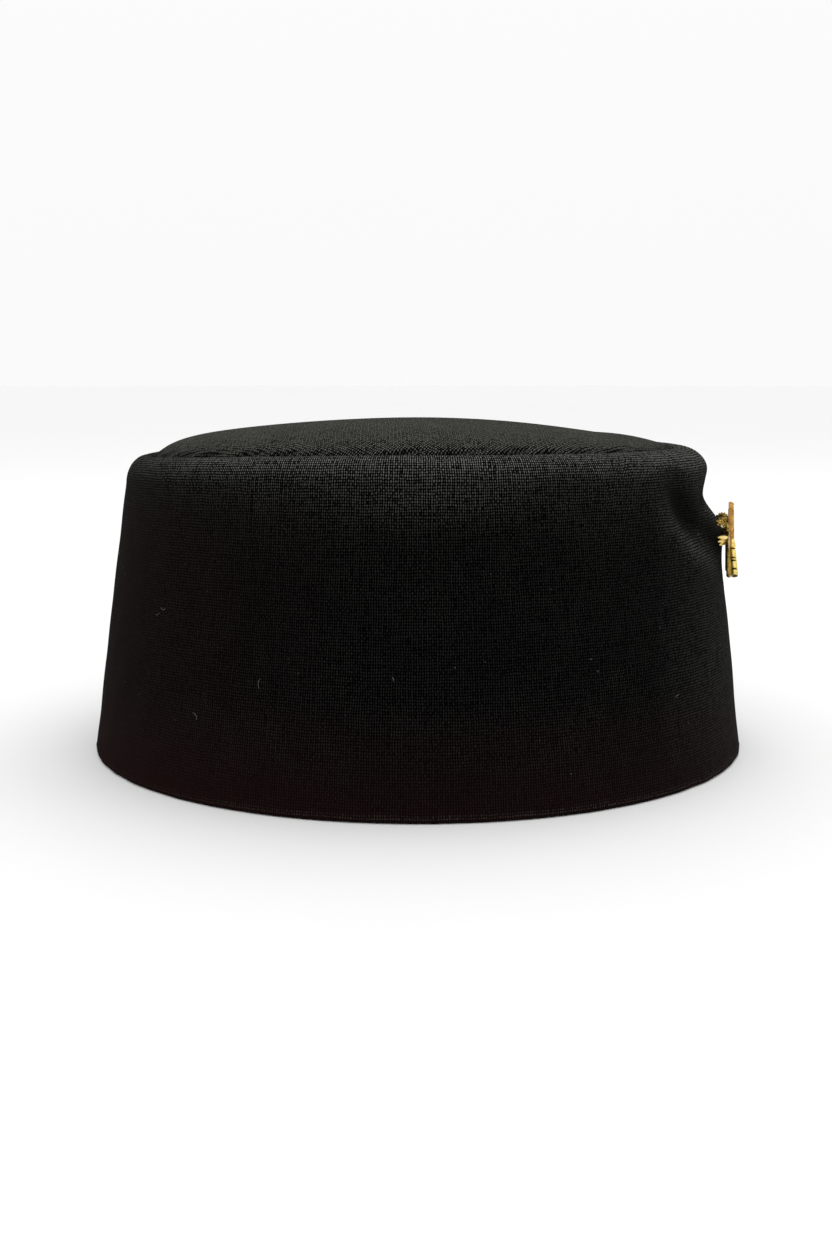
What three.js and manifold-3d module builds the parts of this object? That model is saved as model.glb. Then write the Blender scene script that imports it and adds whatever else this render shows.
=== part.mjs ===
// A black cloth topi: an oval band of doubled cloth whose top edge rolls over, a puffed crown panel sewn
// into that edge, and a gilt badge of two crossed khukuris pinned near the front, held inside by a clutch.
// Millimetres, +Z up, +X to the front, the origin at the middle of the rim on the surface it stands on.
import * as THREE from "three";
import { mergeVertices } from "three/addons/utils/BufferGeometryUtils.js";
import Module from "manifold-3d";

const wasm = await Module();
wasm.setup();

// Sizes of the band, outside
const RIM_LENGTH = 196; // front to back
const RIM_WIDTH = 172; // side to side
const BAND_HEIGHT = 91.9; // rim to the crest of the rolled edge, before the shares in FORM
const BAND_LEAN = 8.4; // how far the wall leans in below the roll
const ROLL_HEIGHT = 8.5; // height of the rolled edge
const TURN_IN = 7.6; // from the wall in to the seam
const CREASE_WIDTH = 2; // from the crest in to the seam
const CREASE_DEPTH = 0.6; // from the crest down to the seam
const BAND_WALL = 2.2; // doubled cloth

// Sizes of the crown panel
const PANEL_WALL = 1.8;
const PANEL_RISE = 5; // puff of the panel above its stitched edge, at the middle
const EDGE_PUFF = 1; // how far the stitched edge swells straight out of the seam
const SLOPE_POWER = 1.5; // how the seam's slope fades out towards the middle of the panel
const EDGE_POWER = 24; // how close to the seam the edge swells
const SEAM_GAP = 0.3;

// Soft lumps of the panel: where each one is, as shares of the rim's length and width, its rise as a share of
// PANEL_RISE and its radius as a share of the rim's length
const LUMPS = [
  { x: 0.32, y: -0.05, rise: 0.17, radius: 0.06 },
  { x: 0.14, y: 0, rise: -0.1, radius: 0.09 },
  { x: -0.16, y: 0.03, rise: -0.05, radius: 0.08 },
];

// Form of the cloth by direction, as shares of the sizes above, and the power that shapes the puff
const FORM = {
  front: { height: 0.981, lean: 1.07, turnIn: 1.5, edgePuff: 1, puffPower: 2.2 },
  side: { height: 0.988, lean: 1, turnIn: 1, edgePuff: 2, puffPower: 5 },
  back: { height: 0.951, lean: 1.05, turnIn: 1.01, edgePuff: 1.5, puffPower: 9 },
};

// Folds of the band. angle is in degrees from the front and height is a share of BAND_HEIGHT. depth is inward
// and a share of FOLD_DEPTH. along and across are half-lengths and shares of FOLD_LENGTH. tilt is in degrees.
// bend is how far the line of the fold bows over its half-length, as a share of FOLD_LENGTH.
const FOLD_DEPTH = 3.2;
const FOLD_LENGTH = 20;
const FOLDS = [
  // the hollow under the front roll, and the swell below it
  { angle: -6, height: 0.83, depth: 1.15, along: 1.35, across: 0.34, tilt: 0, bend: 0 },
  { angle: -4, height: 0.742, depth: -0.69, along: 1.2, across: 0.42, tilt: 0, bend: 0 },
  // the valley that runs up from the badge on its near side, and the ridge below it
  { angle: -31, height: 0.785, depth: 1.1, along: 0.75, across: 0.33, tilt: -42, bend: 0.12 },
  { angle: -35, height: 0.665, depth: -0.3, along: 0.75, across: 0.5, tilt: -43, bend: 0.1 },
  // a smaller valley on the far side
  { angle: 26, height: 0.8, depth: 0.62, along: 0.7, across: 0.27, tilt: 30, bend: 0.1 },
];
// Slow waves that a soft wall keeps, the first two bellying the ends. phase is in degrees.
const WOBBLE = 0.8;
const WOBBLES = [
  { waves: 1, share: 0.35, phase: 180 },
  { waves: 2, share: 0.65, phase: 180 },
  { waves: 3, share: 0.35, phase: 90 },
  { waves: 5, share: 0.25, phase: -90 },
];

// Sizes of the badge. The khukuris are drawn upright and then leaned over, one each way.
const BADGE_ANGLE = -11; // round the band from the front towards the wearer's right, in degrees
const BADGE_SHARE = 0.681; // height of the crossing, as a share of BAND_HEIGHT
const BADGE_STANDOFF = 1.65; // cloth to the back of the blades, at the crossing
const CROSS_ANGLE = 36; // each khukuri from upright, in degrees
const BLADE_LENGTH = 14.7;
const BLADE_THICKNESS = 1.6;
const OVERLAP_STEP = 0.25; // how much higher the upper khukuri lies
const GRIP_LENGTH = 12.3;
const GRIP_RADIUS = 1.1;
const GRIP_HEIGHT = 0.75; // axis of a grip above the back of the blades, at the crossing
const GRIP_LIFT = 4; // degrees that a pommel is bent outwards
const STRIP_THICKNESS = 1; // flat backing of a grip
const STRIP_BACK = 0.8; // how far the backing lies behind the blades
const PLATE_LENGTH = 26; // plate behind the crossing, from fan to fan
const PLATE_HEIGHT = 4.6;
const PLATE_THICKNESS = 1.3;
const SCROLL_RADIUS = 1;
const BEAD_RADIUS = 0.45;
const BEADS = 5;
const BEADS_FROM = 0.4; // where the row of beads starts, as a share of the scroll
const LEAF_ROOT = 8.6; // middle of the badge out to the roots of the leaves
const LEAF_LENGTH = 8.6; // root to point
const LEAF_RADIUS = 0.65;
const LEAF_BEND = 21; // degrees back towards the cloth
const POST_RADIUS = 0.65;
const POST_CLEARANCE = 0.35;
const POST_LENGTH = 10;
const CLUTCH_RADIUS = 3.2;
const CLUTCH_THICKNESS = 2.4;
const CLUTCH_GAP = 2;

// Outline of a blade as shares of BLADE_LENGTH, the cutting edge to the right, bowed where a control is given
const BLADE = [
  { x: -0.055, y: 0.45, controlX: -0.07, controlY: 0.2 },
  { x: 0.18, y: 1, controlX: -0.04, controlY: 0.75 },
  { x: 0.13, y: 0.5, controlX: 0.27, controlY: 0.7 },
  { x: 0.06, y: 0, controlX: 0.03, controlY: 0.28 },
];
// Profile of a grip from the crossing down to the end of the pommel, as shares of GRIP_RADIUS and GRIP_LENGTH
const GRIP = [
  { radius: 0, along: 0 },
  { radius: 0.8, along: 0.02 },
  { radius: 0.95, along: 0.12 },
  { radius: 0.88, along: 0.27 },
  { radius: 0.55, along: 0.295 },
  { radius: 0.92, along: 0.32 },
  { radius: 0.92, along: 0.52 },
  { radius: 0.6, along: 0.545 },
  { radius: 1, along: 0.575 },
  { radius: 0.6, along: 0.61 },
  { radius: 0.95, along: 0.64 },
  { radius: 1, along: 0.82 },
  { radius: 0.62, along: 0.85 },
  { radius: 0.95, along: 0.88 },
  { radius: 0.8, along: 1 },
  { radius: 0, along: 1 },
];
// Centre line of a scroll: out from the middle as shares of PLATE_LENGTH, up as shares of BLADE_LENGTH, and
// towards the cloth as shares of BADGE_STANDOFF
const SCROLL = [
  { out: 0.08, up: 0.06, back: 0.1 },
  { out: 0.27, up: 0.66, back: 0 },
  { out: 0.34, up: 0.42, back: 1.45 },
];
// A leaf from its root to its point, as shares of LEAF_RADIUS and of its length
const LEAF = [
  { radius: 0, along: 0 },
  { radius: 0.78, along: 0.14 },
  { radius: 1, along: 0.4 },
  { radius: 0.76, along: 0.68 },
  { radius: 0.34, along: 0.9 },
  { radius: 0, along: 1 },
];
// Leaves of a fan: rise of each leaf in degrees, its root's height as a share of PLATE_HEIGHT and its length
// as a share of LEAF_LENGTH
const LEAVES = [
  { rise: 7, up: 0.3, share: 1 },
  { rise: 1, up: 0.2, share: 1 },
  { rise: -4, up: 0.1, share: 0.87 },
];

// Fineness of the meshes
const SEGMENTS = 100;
const OUTER_ROWS = 10;
const INNER_ROWS = 8;
const OUTER_ROLL_ROWS = 5;
const INNER_ROLL_ROWS = 3;
const PANEL_RINGS = 8;
const UNDER_RINGS = 5;
const ROW_CROWDING = 1.5; // above 1, the rows of a wall stand closer towards the roll
const GRIP_SIDES = 10;
const BLADE_STEPS = 5;
const SCROLL_SIDES = 8;
const SCROLL_STEPS = 6;
const PLATE_SIDES = 12;
const PLATE_ROWS = 6;
const LEAF_SIDES = 8;
const CLUTCH_SIDES = 16;

const BASE_RADIUS = RIM_WIDTH / 2;
const EXTRA_LENGTH = (RIM_LENGTH - RIM_WIDTH) / 2; // what the ends add to a round band
const SHOULDER = BAND_HEIGHT - ROLL_HEIGHT;
const SEAM_RADIUS = BASE_RADIUS - BAND_LEAN - TURN_IN;
const SEAM_HEIGHT = BAND_HEIGHT - CREASE_DEPTH;

// A value of the FORM table in direction t, counted from the front.
function form(column, t) {
  const end = Math.cos(t) > 0 ? FORM.front : FORM.back;
  return FORM.side[column] + (end[column] - FORM.side[column]) * Math.cos(t) ** 2;
}

// How far the folds and waves push the wall in, in direction t and at height z.
function pushIn(t, z) {
  let push = 0;
  for (const fold of FOLDS) {
    const turn = t - THREE.MathUtils.degToRad(fold.angle);
    const side = (BASE_RADIUS - BAND_LEAN) * Math.atan2(Math.sin(turn), Math.cos(turn));
    const up = z - fold.height * BAND_HEIGHT;
    const tilt = THREE.MathUtils.degToRad(fold.tilt);
    const along = (side * Math.cos(tilt) + up * Math.sin(tilt)) / (fold.along * FOLD_LENGTH);
    const bow = fold.bend * FOLD_LENGTH * along ** 2;
    const across = (up * Math.cos(tilt) - side * Math.sin(tilt) - bow) / (fold.across * FOLD_LENGTH);
    push += fold.depth * FOLD_DEPTH * Math.exp(-(along ** 2) - across ** 2);
  }
  for (const wave of WOBBLES) {
    const phase = THREE.MathUtils.degToRad(wave.phase);
    push += WOBBLE * wave.share * Math.sin((Math.PI * z) / BAND_HEIGHT) * Math.cos(wave.waves * t + phase);
  }
  // The rim lies flat and the sewn edge is stiff, so both keep their line.
  const aboveRim = THREE.MathUtils.smoothstep(z, 0, SHOULDER / 3);
  return push * aboveRim * (1 - THREE.MathUtils.smoothstep(z, SHOULDER, SEAM_HEIGHT - BAND_WALL));
}

// Moves each vertex of a geometry as place says, given its direction and its distance from the axis.
function reshape(geometry, place) {
  const position = geometry.getAttribute("position");
  const point = new THREE.Vector3();
  for (let i = 0; i < position.count; i++) {
    point.fromBufferAttribute(position, i);
    place(point, Math.atan2(point.y, point.x), Math.hypot(point.x, point.y));
    position.setXYZ(i, point.x, point.y, point.z);
  }
  return geometry;
}

// Points of one face of the band from the rim to the seam, the face lying depth inside the outer one.
function facePoints(depth, wallRows, rollRows) {
  const points = [];
  for (let i = 0; i <= wallRows; i++) {
    const rise = 1 - (1 - i / wallRows) ** ROW_CROWDING;
    points.push(new THREE.Vector2(BASE_RADIUS - depth - BAND_LEAN * rise, SHOULDER * rise));
  }
  const crestRadius = SEAM_RADIUS + CREASE_WIDTH;
  for (let i = 1; i <= rollRows; i++) {
    const turn = (Math.PI / 2) * (i / rollRows);
    const across = BASE_RADIUS - BAND_LEAN - depth - crestRadius;
    const up = ROLL_HEIGHT - depth;
    points.push(new THREE.Vector2(crestRadius + across * Math.cos(turn), SHOULDER + up * Math.sin(turn)));
  }
  points.push(new THREE.Vector2(SEAM_RADIUS, SEAM_HEIGHT - depth));
  return points;
}

// The band: a closed ring of cloth from the flat rim up to the seam and back down inside.
function bandGeometry() {
  const outer = facePoints(0, OUTER_ROWS, OUTER_ROLL_ROWS);
  const inner = facePoints(BAND_WALL, INNER_ROWS, INNER_ROLL_ROWS);
  const profile = [...outer, ...inner.reverse(), outer[0].clone()];
  const lathe = new THREE.LatheGeometry(profile, SEGMENTS).rotateX(Math.PI / 2);
  return reshape(lathe, (point, t, radius) => {
    const z = point.z;
    const lean = BAND_LEAN * (form("lean", t) - 1) * Math.min(z / SHOULDER, 1);
    const turned = THREE.MathUtils.clamp((BASE_RADIUS - BAND_LEAN - radius) / TURN_IN, 0, 1);
    const turnIn = TURN_IN * (form("turnIn", t) - 1) * turned;
    const kept = radius - lean - turnIn - pushIn(t, z);
    point.set((kept + EXTRA_LENGTH) * Math.cos(t), kept * Math.sin(t), z * form("height", t));
  });
}

// The rise of the panel's soft lumps at (x, y).
function lumps(x, y) {
  let rise = 0;
  for (const lump of LUMPS) {
    const away = Math.hypot(x - lump.x * RIM_LENGTH, y - lump.y * RIM_WIDTH) / (lump.radius * RIM_LENGTH);
    rise += PANEL_RISE * lump.rise * Math.exp(-(away ** 2));
  }
  return rise;
}

// The crown panel: an oval of cloth puffed up from the seam.
function panelGeometry() {
  const edge = SEAM_RADIUS - SEAM_GAP;
  const profile = [];
  for (let i = 0; i <= UNDER_RINGS; i++) {
    profile.push(new THREE.Vector2(edge * Math.sin((Math.PI / 2) * (i / UNDER_RINGS)), 0));
  }
  for (let i = PANEL_RINGS; i >= 0; i--) {
    profile.push(new THREE.Vector2(edge * Math.sin((Math.PI / 2) * (i / PANEL_RINGS)), PANEL_WALL));
  }
  const lathe = new THREE.LatheGeometry(profile, SEGMENTS).rotateX(Math.PI / 2);
  return reshape(lathe, (point, t, radius) => {
    const share = radius / edge;
    const inset = BAND_LEAN * (form("lean", t) - 1) + TURN_IN * (form("turnIn", t) - 1);
    const kept = radius - inset * share;
    // The seam's own slope fades out towards the middle, which belongs to no one direction.
    const seam = SEAM_HEIGHT * (1 + (form("height", t) - 1) * share ** SLOPE_POWER);
    const edgePuff = EDGE_PUFF * form("edgePuff", t) * (1 - share ** EDGE_POWER);
    const puff = PANEL_RISE * (1 - share ** form("puffPower", t)) + edgePuff;
    const x = (kept + EXTRA_LENGTH * share) * Math.cos(t);
    const y = kept * Math.sin(t);
    point.set(x, y, seam + puff + lumps(x, y) + point.z - PANEL_WALL);
  });
}

// A closed solid of manifold-3d from a three.js geometry.
function solid(geometry) {
  const bare = new THREE.BufferGeometry().setAttribute("position", geometry.getAttribute("position"));
  bare.setIndex(geometry.index);
  const merged = mergeVertices(bare, 1e-3);
  const corners = [];
  for (let i = 0; i < merged.index.count; i += 3) {
    const [a, b, c] = merged.index.array.slice(i, i + 3);
    if (a !== b && b !== c && c !== a) corners.push(a, b, c);
  }
  return new wasm.Manifold(
    new wasm.Mesh({
      numProp: 3,
      vertProperties: new Float32Array(merged.attributes.position.array),
      triVerts: new Uint32Array(corners),
    }),
  );
}

// The geometry of a manifold-3d solid.
function geometryOf(made) {
  const mesh = made.getMesh();
  const geometry = new THREE.BufferGeometry();
  geometry.setAttribute("position", new THREE.BufferAttribute(new Float32Array(mesh.vertProperties), 3));
  geometry.setIndex(new THREE.BufferAttribute(new Uint32Array(mesh.triVerts), 1));
  geometry.computeVertexNormals();
  return geometry;
}

// One khukuri in the badge's own plane, its crossing at the origin. side is 1 if the blade leans right.
function khukuriParts(side) {
  const outline = new THREE.Shape().moveTo(BLADE.at(-1).x * -BLADE_LENGTH, 0);
  for (const { x, y, controlX, controlY } of BLADE) {
    outline.quadraticCurveTo(
      controlX * BLADE_LENGTH, controlY * BLADE_LENGTH, x * BLADE_LENGTH, y * BLADE_LENGTH);
  }
  const flat = { depth: BLADE_THICKNESS, bevelEnabled: false, curveSegments: BLADE_STEPS };
  const blade = new THREE.ExtrudeGeometry(outline, flat);
  const strip = new THREE.BoxGeometry(2 * GRIP_RADIUS, GRIP_LENGTH, STRIP_THICKNESS);
  strip.translate(0, -GRIP_LENGTH / 2, STRIP_THICKNESS / 2 - STRIP_BACK);
  const profile = GRIP.map(
    ({ radius, along }) => new THREE.Vector2(radius * GRIP_RADIUS, -along * GRIP_LENGTH));
  const grip = new THREE.LatheGeometry(profile.reverse(), GRIP_SIDES);
  grip.rotateX(THREE.MathUtils.degToRad(-GRIP_LIFT)).translate(0, 0, GRIP_HEIGHT);
  const lift = side > 0 ? OVERLAP_STEP : 0;
  return [blade, strip, grip].map((geometry) => {
    let made = solid(geometry);
    if (side < 0) made = made.mirror([1, 0, 0]);
    return made.rotate([0, 0, -side * CROSS_ANGLE]).translate([0, 0, lift]);
  });
}

// The beaded scroll and the leaf fan of one side, bending back towards the cloth.
function ornamentParts(side) {
  const scroll = new THREE.QuadraticBezierCurve3(
    ...SCROLL.map(({ out, up, back }) =>
      new THREE.Vector3(out * PLATE_LENGTH, up * BLADE_LENGTH, -back * BADGE_STANDOFF)),
  );
  const round = new THREE.Shape().absarc(0, 0, SCROLL_RADIUS, 0, 2 * Math.PI);
  const tube = {
    extrudePath: scroll, steps: SCROLL_STEPS, bevelEnabled: false, curveSegments: SCROLL_SIDES / 2,
  };
  const parts = [solid(new THREE.ExtrudeGeometry(round, tube))];
  for (let i = 0; i < BEADS; i++) {
    const middle = scroll.getPointAt(BEADS_FROM + ((1 - BEADS_FROM) * i) / BEADS);
    const bead = new THREE.IcosahedronGeometry(BEAD_RADIUS);
    const offset = SCROLL_RADIUS * Math.SQRT1_2;
    parts.push(solid(bead.translate(middle.x, middle.y - offset, middle.z - offset)));
  }
  for (const { rise, up, share } of LEAVES) {
    const profile = LEAF.map(
      ({ radius, along }) => new THREE.Vector2(radius * LEAF_RADIUS, along * LEAF_LENGTH * share));
    const leaf = new THREE.LatheGeometry(profile, LEAF_SIDES).rotateZ(-Math.PI / 2);
    leaf.rotateY(THREE.MathUtils.degToRad(LEAF_BEND)).rotateZ(THREE.MathUtils.degToRad(rise));
    parts.push(solid(leaf.translate(LEAF_ROOT, up * PLATE_HEIGHT, 0)));
  }
  return side > 0 ? parts : parts.map((part) => part.mirror([1, 0, 0]));
}

// Puts a geometry drawn in the badge's plane, facing +Z with the cloth at zero, onto the cloth at its place.
function ontoCloth(geometry) {
  const t = THREE.MathUtils.degToRad(BADGE_ANGLE);
  const height = BADGE_SHARE * BAND_HEIGHT;
  const plainHeight = height / form("height", t); // the same level of the cloth before its top is drawn down
  const lean = (BAND_LEAN * form("lean", t) * plainHeight) / SHOULDER;
  const across = BASE_RADIUS - lean - pushIn(t, plainHeight);
  const along = across + EXTRA_LENGTH;
  const outward = Math.atan2(Math.sin(t) / across, Math.cos(t) / along);
  const upright = new THREE.Matrix4().makeBasis(
    new THREE.Vector3(0, 1, 0), new THREE.Vector3(0, 0, 1), new THREE.Vector3(1, 0, 0));
  geometry.applyMatrix4(upright).rotateZ(outward);
  return geometry.translate(along * Math.cos(t), across * Math.sin(t), height);
}

// The badge: both khukuris, the plate, the ornaments and the post in one casting.
function badgeGeometry() {
  const post = new THREE.CylinderGeometry(POST_RADIUS, POST_RADIUS, POST_LENGTH, CLUTCH_SIDES);
  post.rotateX(Math.PI / 2).translate(0, 0, BLADE_THICKNESS / 2 - POST_LENGTH / 2);
  const plate = new THREE.SphereGeometry(0.5, PLATE_SIDES, PLATE_ROWS);
  plate.scale(PLATE_LENGTH, PLATE_HEIGHT, PLATE_THICKNESS);
  const parts = [solid(post), solid(plate)];
  for (const side of [1, -1]) parts.push(...khukuriParts(side), ...ornamentParts(side));
  return ontoCloth(geometryOf(wasm.Manifold.union(parts)).translate(0, 0, BADGE_STANDOFF));
}

// The hole for the post, through both layers of the band.
function postHole() {
  const radius = POST_RADIUS + POST_CLEARANCE;
  const bore = new THREE.CylinderGeometry(radius, radius, 2 * POST_LENGTH, CLUTCH_SIDES);
  return ontoCloth(bore.rotateX(Math.PI / 2));
}

// The clutch: a plain ring around the end of the post.
function clutchGeometry() {
  const bore = POST_RADIUS + POST_CLEARANCE;
  const profile = [
    new THREE.Vector2(bore, 0),
    new THREE.Vector2(CLUTCH_RADIUS, 0),
    new THREE.Vector2(CLUTCH_RADIUS, CLUTCH_THICKNESS),
    new THREE.Vector2(bore, CLUTCH_THICKNESS),
    new THREE.Vector2(bore, 0),
  ];
  const ring = new THREE.LatheGeometry(profile, CLUTCH_SIDES).rotateX(Math.PI / 2);
  return ontoCloth(ring.translate(0, 0, -(BAND_WALL + CLUTCH_GAP + CLUTCH_THICKNESS)));
}

const BLACK_CLOTH = 0x121213;
const GILT = 0xd9a83a;
const STEEL = 0xa9a49a;
const cloth = new THREE.MeshStandardMaterial({ color: BLACK_CLOTH, roughness: 0.95, metalness: 0 });
const gilt = new THREE.MeshStandardMaterial({ color: GILT, roughness: 0.3, metalness: 1 });
const clutchMetal = new THREE.MeshStandardMaterial({ color: STEEL, roughness: 0.4, metalness: 1 });

const topi = new THREE.Group();
function add(name, geometry, material) {
  const mesh = new THREE.Mesh(geometry, material);
  mesh.name = name;
  topi.add(mesh);
}

add("side_band", geometryOf(solid(bandGeometry()).subtract(solid(postHole()))), cloth);
add("crown_panel", panelGeometry(), cloth);
add("khukuri_badge", badgeGeometry(), gilt);
add("pin_clutch", clutchGeometry(), clutchMetal);

export default topi;
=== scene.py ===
# The looks of a plain black cloth topi with a gilt badge: fine cloth, badge, lint, floor, light and camera.
# Sizes are in millimetres until a mesh is made, and Blender's own are metres.
import math

import bmesh
import bpy
import numpy as np
from mathutils import Matrix, Vector


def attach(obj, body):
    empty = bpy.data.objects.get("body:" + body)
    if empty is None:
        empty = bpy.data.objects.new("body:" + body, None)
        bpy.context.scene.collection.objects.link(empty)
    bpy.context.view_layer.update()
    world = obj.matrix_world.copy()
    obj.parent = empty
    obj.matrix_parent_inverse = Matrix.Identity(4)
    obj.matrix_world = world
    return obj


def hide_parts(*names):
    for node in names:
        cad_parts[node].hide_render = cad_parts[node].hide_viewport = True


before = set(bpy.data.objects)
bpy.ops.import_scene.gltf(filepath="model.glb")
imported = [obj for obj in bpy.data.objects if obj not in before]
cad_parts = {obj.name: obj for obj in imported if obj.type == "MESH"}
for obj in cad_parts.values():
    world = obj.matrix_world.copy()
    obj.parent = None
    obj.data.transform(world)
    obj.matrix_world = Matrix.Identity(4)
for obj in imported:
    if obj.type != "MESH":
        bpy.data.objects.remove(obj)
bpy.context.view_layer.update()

MM = 0.001

# The camera: level with the top of the cap, close in front of its side
EYE = (0, -0.42, 0.11)
IMAGE_WIDTH, IMAGE_HEIGHT = 832, 1248
FOCAL_PIXELS = 1348.7
CENTRE_COLUMN = 418
HORIZON_ROW = 381
SENSOR = 36.0

camera_data = bpy.data.cameras.new("camera")
camera_data.sensor_width = SENSOR
camera_data.lens = SENSOR * FOCAL_PIXELS / IMAGE_HEIGHT
camera_data.shift_x = (IMAGE_WIDTH / 2 - CENTRE_COLUMN) / IMAGE_HEIGHT
camera_data.shift_y = (HORIZON_ROW - IMAGE_HEIGHT / 2) / IMAGE_HEIGHT
camera_data.clip_start = 0.01
camera = bpy.data.objects.new("camera", camera_data)
camera.location = EYE
camera.rotation_euler = (math.radians(90), 0, 0)
bpy.context.scene.collection.objects.link(camera)
bpy.context.scene.camera = camera

# Sizes of the band, outside, as in the part
RIM_LENGTH = 196.0
RIM_WIDTH = 172.0
BAND_HEIGHT = 91.9
BAND_LEAN = 8.4
ROLL_HEIGHT = 8.5
TURN_IN = 7.6
CREASE_WIDTH = 2.0
CREASE_DEPTH = 0.6
BAND_WALL = 2.2

# Sizes of the crown panel
PANEL_WALL = 1.8
PANEL_RISE = 5.0
EDGE_PUFF = 1.0
SLOPE_POWER = 1.5
EDGE_POWER = 24

# Soft lumps of the panel: place as shares of the rim's length and width, rise as a share of PANEL_RISE and
# radius as a share of the rim's length
LUMPS = (
    {"x": 0.32, "y": -0.05, "rise": 0.17, "radius": 0.06},
    {"x": 0.14, "y": 0.0, "rise": -0.1, "radius": 0.09},
    {"x": -0.16, "y": 0.03, "rise": -0.05, "radius": 0.08},
)

# Form of the cloth by direction, as shares of the sizes above, and the power that shapes the puff
FORM = {
    "front": {"height": 0.981, "lean": 1.07, "turn_in": 1.5, "edge_puff": 1.0, "puff_power": 2.2},
    "side": {"height": 0.988, "lean": 1.0, "turn_in": 1.0, "edge_puff": 2.0, "puff_power": 5.0},
    "back": {"height": 0.951, "lean": 1.05, "turn_in": 1.01, "edge_puff": 1.5, "puff_power": 9.0},
}

# Folds of the band: angle in degrees from the front, height as a share of BAND_HEIGHT, depth inward as a
# share of FOLD_DEPTH, along, across and bend as shares of FOLD_LENGTH, tilt in degrees
FOLD_DEPTH = 3.2
FOLD_LENGTH = 20.0
FOLDS = (
    # the hollow under the front roll, and the swell below it
    {"angle": -6, "height": 0.83, "depth": 1.15, "along": 1.35, "across": 0.34, "tilt": 0, "bend": 0},
    {"angle": -4, "height": 0.742, "depth": -0.69, "along": 1.2, "across": 0.42, "tilt": 0, "bend": 0},
    # the valley that runs up from the badge on its near side, and the ridge below it
    {"angle": -31, "height": 0.785, "depth": 1.1, "along": 0.75, "across": 0.33, "tilt": -42, "bend": 0.12},
    {"angle": -35, "height": 0.665, "depth": -0.3, "along": 0.75, "across": 0.5, "tilt": -43, "bend": 0.1},
    # a smaller valley on the far side
    {"angle": 26, "height": 0.8, "depth": 0.62, "along": 0.7, "across": 0.27, "tilt": 30, "bend": 0.1},
)
# Slow waves of the wall, phase in degrees
WOBBLE = 0.8
WOBBLES = (
    {"waves": 1, "share": 0.35, "phase": 180},
    {"waves": 2, "share": 0.65, "phase": 180},
    {"waves": 3, "share": 0.35, "phase": 90},
    {"waves": 5, "share": 0.25, "phase": -90},
)

# Sewing that is too fine for the part
SEAM_HALF_GAP = 0.1  # each cloth stands this far from the line of the seam
SEAM_SINK = 0.4  # how far both cloths dip into the seam
SEAM_SOFT = 0.7  # half-width of that dip
PUCKERS = 38  # slanting gathers of the panel, round the crown seam
PUCKER_DEPTH = 1.35
PUCKER_WIDTH = 0.62
PUCKER_FROM = 0.3  # how far in from the seam a gather starts
PUCKER_RISE = 2.6  # and how much farther in it runs
PUCKER_START = 0.1  # share of its length in which it deepens
PUCKER_FADE = 0.6  # power of its fading
PUCKER_STRENGTH = 0.75
ROLL_GATHERS = 96  # short gathers of the band below the seam
GATHER_DEPTH = 0.22
GATHER_LENGTH = 3.5
GATHER_SHARPNESS = 4
GATHER_ELSEWHERE = 0.35  # strength away from the front corners
GATHER_CORNER = 0.62  # angle of a front corner in radians, and how far round the gathers reach from it
GATHER_SPREAD = 0.3
HEM_TACKS = 60
TACK_DEPTH = 0.28
TACK_SHARPNESS = 8
TACK_HEIGHT = 3.2  # above the rim
TACK_SPREAD = 1.4
BACK_SEAM_DEPTH = 0.7
BACK_SEAM_WIDTH = 1.2
BACK_SEAM_START = 6.0  # height at which it has its full depth
RIPPLES = 12  # fine ripples of the cloth, each with its waves round the cap and its slant
RIPPLE = 0.02
RIPPLE_WAVES = (14, 60)
RIPPLE_SLANT = 0.35

# Slow random unevenness round the cap
UNEVEN = {
    "pucker_spacing": {"size": 0.45, "waves": (2, 3, 5, 8), "seed": 3},
    "pucker_strength": {"size": 0.6, "waves": (4, 9, 15), "seed": 23},
    "gather_spacing": {"size": 1.6, "waves": (3, 7, 11), "seed": 5},
    "tack_spacing": {"size": 0.8, "waves": (2, 5, 9), "seed": 11},
}

# Painted shade of the creases and hollows, and a painted shadow beside the badge: darkness from 0 to 1, and
# the places that it covers
CREASE_SHADE = 0.6  # width of the dark line in the seam
GATHER_SHADE = 0.5
HOLLOW_SHADE = 0.85  # of the band's deep hollows
HOLLOW_DEPTH = 2.5  # depth of a deep one
STRIP_SHADE = 0.12  # of the panel's edge, where it turns down into the seam
STRIP_WIDTH = 5.0
BADGE_SHADOW_DARKNESS = 0.8  # of the painted shadow on the cloth beside the badge, sheltered by the roll
BADGE_SHADOW_ANGLE = -21.0
BADGE_SHADOW_HEIGHT = 68.0
BADGE_SHADOW_LENGTH = 12.0
BADGE_SHADOW_TALL = 8.0
BADGE_SHADOW_TILT = 0.5  # how far it climbs away from the badge

# The badge, as in the part, with a few finer sizes of its own
BADGE_ANGLE = -11
BADGE_SHARE = 0.681
BADGE_STANDOFF = 1.65
CROSS_ANGLE = 36
BLADE_LENGTH = 14.7
BLADE_THICKNESS = 1.6
OVERLAP_STEP = 0.25
GRIP_LENGTH = 12.3
GRIP_RADIUS = 1.1
GRIP_HEIGHT = 0.75
GRIP_LIFT = 4
GRIP_TIP = 0.02  # smallest radius, as a share of GRIP_RADIUS
GROOVE = 0.8  # a grip's faces thinner than this share of its radius get painted shade, a near-black gilt
STRIP_THICKNESS = 1.0
STRIP_CORNER = 0.3  # its eased edge, as a share of that
STRIP_BACK = 0.8
STRIP_WEDGE = 0.5  # the backing grows this much thicker towards the pommel
SHARPEST_CORNER = 0.6  # limits of the bevel at a corner of the blade
LONGEST_MITRE = 1.6
PLATE_LENGTH = 26.0
PLATE_HEIGHT = 4.6
PLATE_THICKNESS = 1.3
SCROLL_RADIUS = 1.0
SCROLL_FULLNESS = 0.82  # of its radius, and the size and turn in radians of the knots along it
SCROLL_KNOTS = 0.12
SCROLL_KNOT_TURN = 40
GRANULE_RADIUS = 0.3
GRANULE_SEAT = 0.84  # how far out a granule sits, as a share of SCROLL_RADIUS
GRANULES = 64
GOLDEN_ANGLE = 2.39996
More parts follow.
